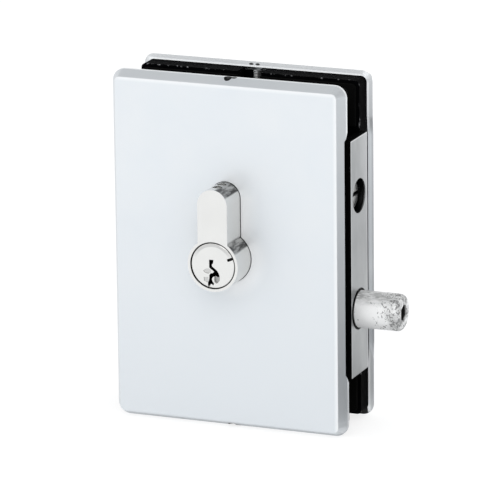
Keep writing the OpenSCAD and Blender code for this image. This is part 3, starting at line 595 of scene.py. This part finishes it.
def outline(co):
    """How far a point lies outside the covers' outline at the rim, in millimetres, and the way out."""
    x, z = co.x / MM - PLATE_X, co.z / MM - PLATE_Z
    qx, qz = abs(x) - (RIM_HALF_W - RIM_R), abs(z) - (RIM_HALF_H - RIM_R)
    away = Vector((math.copysign(max(qx, 0), x), 0, math.copysign(max(qz, 0), z)))
    return away.length + min(max(qx, qz), 0) - RIM_R, away.normalized()


def slope_rim(bm):
    """Lets the rear cover's rim fall away to the rear at its outer edge, as in the photograph."""
    for vert in bm.verts:
        x, y, z = vert.co / MM
        gap, away = outline(vert.co)
        round_side = max(0, abs(x - PLATE_X) - (RIM_HALF_W - RIM_R)) / RIM_R
        back = RIM_BACK + RIM_BACK_SIDES * round_side
        rim = Vector((-RIM_IN_X * away.x, back, -RIM_IN_Z * away.z)) * MM
        band = Vector((-BAND_IN * away.x, BAND_BACK, -BAND_IN * away.z)) * MM
        down = (y - BAND_Y) / (FACE_Y - BAND_Y)
        if abs(y - RELIEF_Y) < 0.03 and x > PLATE_X and abs(z - RELIEF_Z) < RELIEF_REACH:
            # The relief beside the case: longer ends, and a gap between the case and the rim
            if abs(gap) < 0.45:
                vert.co += Vector((-RELIEF_EDGE_IN, RELIEF_EDGE_BACK, 0)) * MM
            elif gap < -2:
                vert.co += Vector((RELIEF_GAP, 0, 0)) * MM
            if abs(z - RELIEF_Z) > RELIEF_REACH - RELIEF_END_ZONE:
                vert.co.z += math.copysign(RELIEF_END_MOVE, RELIEF_Z - z) * MM
        elif abs(gap) < 0.1 and y < BAND_Y + 0.03:
            vert.co += rim.lerp(band, (y - RIM_Y) / (BAND_Y - RIM_Y))
        elif down > 0 and abs(gap + FACE_INSET * down) < 0.1:
            vert.co += band * (1 - down)


def softened(node, width, segments, shape=None):
    """A copy of a CAD node's mesh as one welded skin, with its sharp edges rounded a little."""
    source = frame["nodes"][node]
    bm = bmesh.new()
    bm.from_mesh(source.data)
    bmesh.ops.remove_doubles(bm, verts=bm.verts, dist=2e-6)
    bmesh.ops.dissolve_degenerate(bm, edges=bm.edges, dist=1e-6)
    if shape:
        shape(bm)
    bmesh.ops.dissolve_limit(bm, angle_limit=math.radians(FLAT_ANGLE), verts=bm.verts,
                             edges=bm.edges, use_dissolve_boundaries=False)
    sharp = [e for e in bm.edges if len(e.link_faces) == 2
             and e.calc_face_angle(0) > math.radians(SHARP_ANGLE)]
    bmesh.ops.bevel(bm, geom=sharp, offset=width * MM, offset_type="OFFSET", segments=segments,
                    profile=0.5, affect="EDGES", clamp_overlap=True, loop_slide=True)
    bmesh.ops.recalc_face_normals(bm, faces=bm.faces)
    mesh = bpy.data.meshes.new(node + "_form")
    bm.to_mesh(mesh)
    bm.free()
    for polygon in mesh.polygons:
        polygon.use_smooth = True
    piece = bpy.data.objects.new(node + "_form", mesh)
    bpy.context.scene.collection.objects.link(piece)
    weighted = piece.modifiers.new("normals", "WEIGHTED_NORMAL")
    weighted.mode, weighted.weight, weighted.keep_sharp = "FACE_AREA", 100, False
    mesh.materials.append(MATERIALS[FINISH[node]])
    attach(piece, body_of(node))
    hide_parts(node)


def dress_cad_nodes():
    for name, obj in frame["nodes"].items():
        obj.data.materials.clear()
        obj.data.materials.append(MATERIALS[FINISH[name]])


# Studio

def make_world():
    """Light from all round: white for the camera, a soft sky for matt surfaces, a tent for metal."""
    world = bpy.data.worlds.new("studio")
    bpy.context.scene.world = world
    world.use_nodes = True
    t = Tree(world.node_tree)
    t.tree.nodes.clear()
    path = t.new("ShaderNodeLightPath").outputs
    x, _, z = t.split(t.new("ShaderNodeTexCoord").outputs["Generated"])
    # What metal sees: a white tent, darker overhead and to the right
    lost = t.maths("ADD", t.ease(z, 0.35, 0.85, 0, 0.43), t.ease(x, 0.45, 0.9, 0, 0.42))
    tent = t.new("ShaderNodeBackground", Color=(*WHITE, 1))
    t.link(t.maths("SUBTRACT", 0.92, lost), tent.inputs["Strength"])
    white = t.new("ShaderNodeBackground", Color=(*WHITE, 1), Strength=1.0)
    soft = t.new("ShaderNodeBackground", Color=(0.97, 0.985, 1.0, 1), Strength=0.88)
    lit = t.blend(path["Is Glossy Ray"], soft.outputs[0], tent.outputs[0])
    seen = t.most(path["Is Camera Ray"], path["Is Transmission Ray"])
    output = t.new("ShaderNodeOutputWorld")
    t.link(t.blend(seen, lit, white.outputs[0]), output.inputs["Surface"])


def floor_material():
    """White, with its own light for the camera and for metal, and a faint shadow of the lock."""
    material = bpy.data.materials.new("floor")
    material.use_nodes = True
    t = Tree(material.node_tree)
    t.tree.nodes.clear()

    def coat(grey, glow):
        """A matt coat with some light of its own."""
        diffuse = t.new("ShaderNodeBsdfDiffuse", Color=(grey, grey, grey, 1))
        light = t.new("ShaderNodeEmission", Strength=glow)
        both = t.new("ShaderNodeAddShader")
        t.link(diffuse.outputs[0], both.inputs[0])
        t.link(light.outputs[0], both.inputs[1])
        return both.outputs[0]

    # A grey card lies on the floor to the right, and only metal sees it
    x, y, _ = t.split(t.new("ShaderNodeTexCoord").outputs["Object"])
    along = t.product(t.ease(x, 0.002, 0.02), t.ease(x, 0.12, 0.80, 1, 0))
    slanted = t.beyond(y, t.product(x, 0.15))
    across = t.product(t.ease(y, -0.20, -0.08), t.ease(slanted, 0.01, 0.07, 1, 0))
    path = t.new("ShaderNodeLightPath").outputs
    for_metal = t.blend(t.product(along, across), coat(0.60, 0.42), coat(0.10, 0.03))
    for_light = t.blend(path["Is Glossy Ray"], coat(0.82, 0.0), for_metal)
    output = t.new("ShaderNodeOutputMaterial")
    t.link(t.blend(path["Is Camera Ray"], for_light, coat(0.30, 0.78)), output.inputs["Surface"])
    return material


def make_floor():
    bm = bmesh.new()
    bmesh.ops.create_grid(bm, x_segments=1, y_segments=1, size=6)
    mesh = bpy.data.meshes.new("floor")
    bm.to_mesh(mesh)
    bm.free()
    floor = bpy.data.objects.new("floor", mesh)
    bpy.context.scene.collection.objects.link(floor)
    floor.location = (0, 0, CAD_BOX[0][2] - 0.0002)
    mesh.materials.append(floor_material())


def lamp(name, place, size, power):
    """A square area lamp that faces the middle of the covers."""
    data = bpy.data.lights.new(name, "AREA")
    data.shape, data.size, data.energy = "SQUARE", size, power
    obj = bpy.data.objects.new(name, data)
    bpy.context.scene.collection.objects.link(obj)
    obj.location = place
    target = Vector((PLATE_X, 0, PLATE_Z)) * MM
    obj.rotation_euler = (target - Vector(place)).to_track_quat("-Z", "Y").to_euler()


make_camera()
make_world()
make_floor()
lamp("key", (0.4, -1.9, 1.5), 1.6, 12)
lamp("fill", (-1.6, -1.3, 0.9), 1.2, 1)
dress_cad_nodes()
for node, (width, steps) in ROUNDED.items():
    softened(node, width, steps, slope_rim if node == "rear_cover" else None)

bpy.context.scene.view_settings.view_transform = "Standard"
bpy.context.view_layer.update()
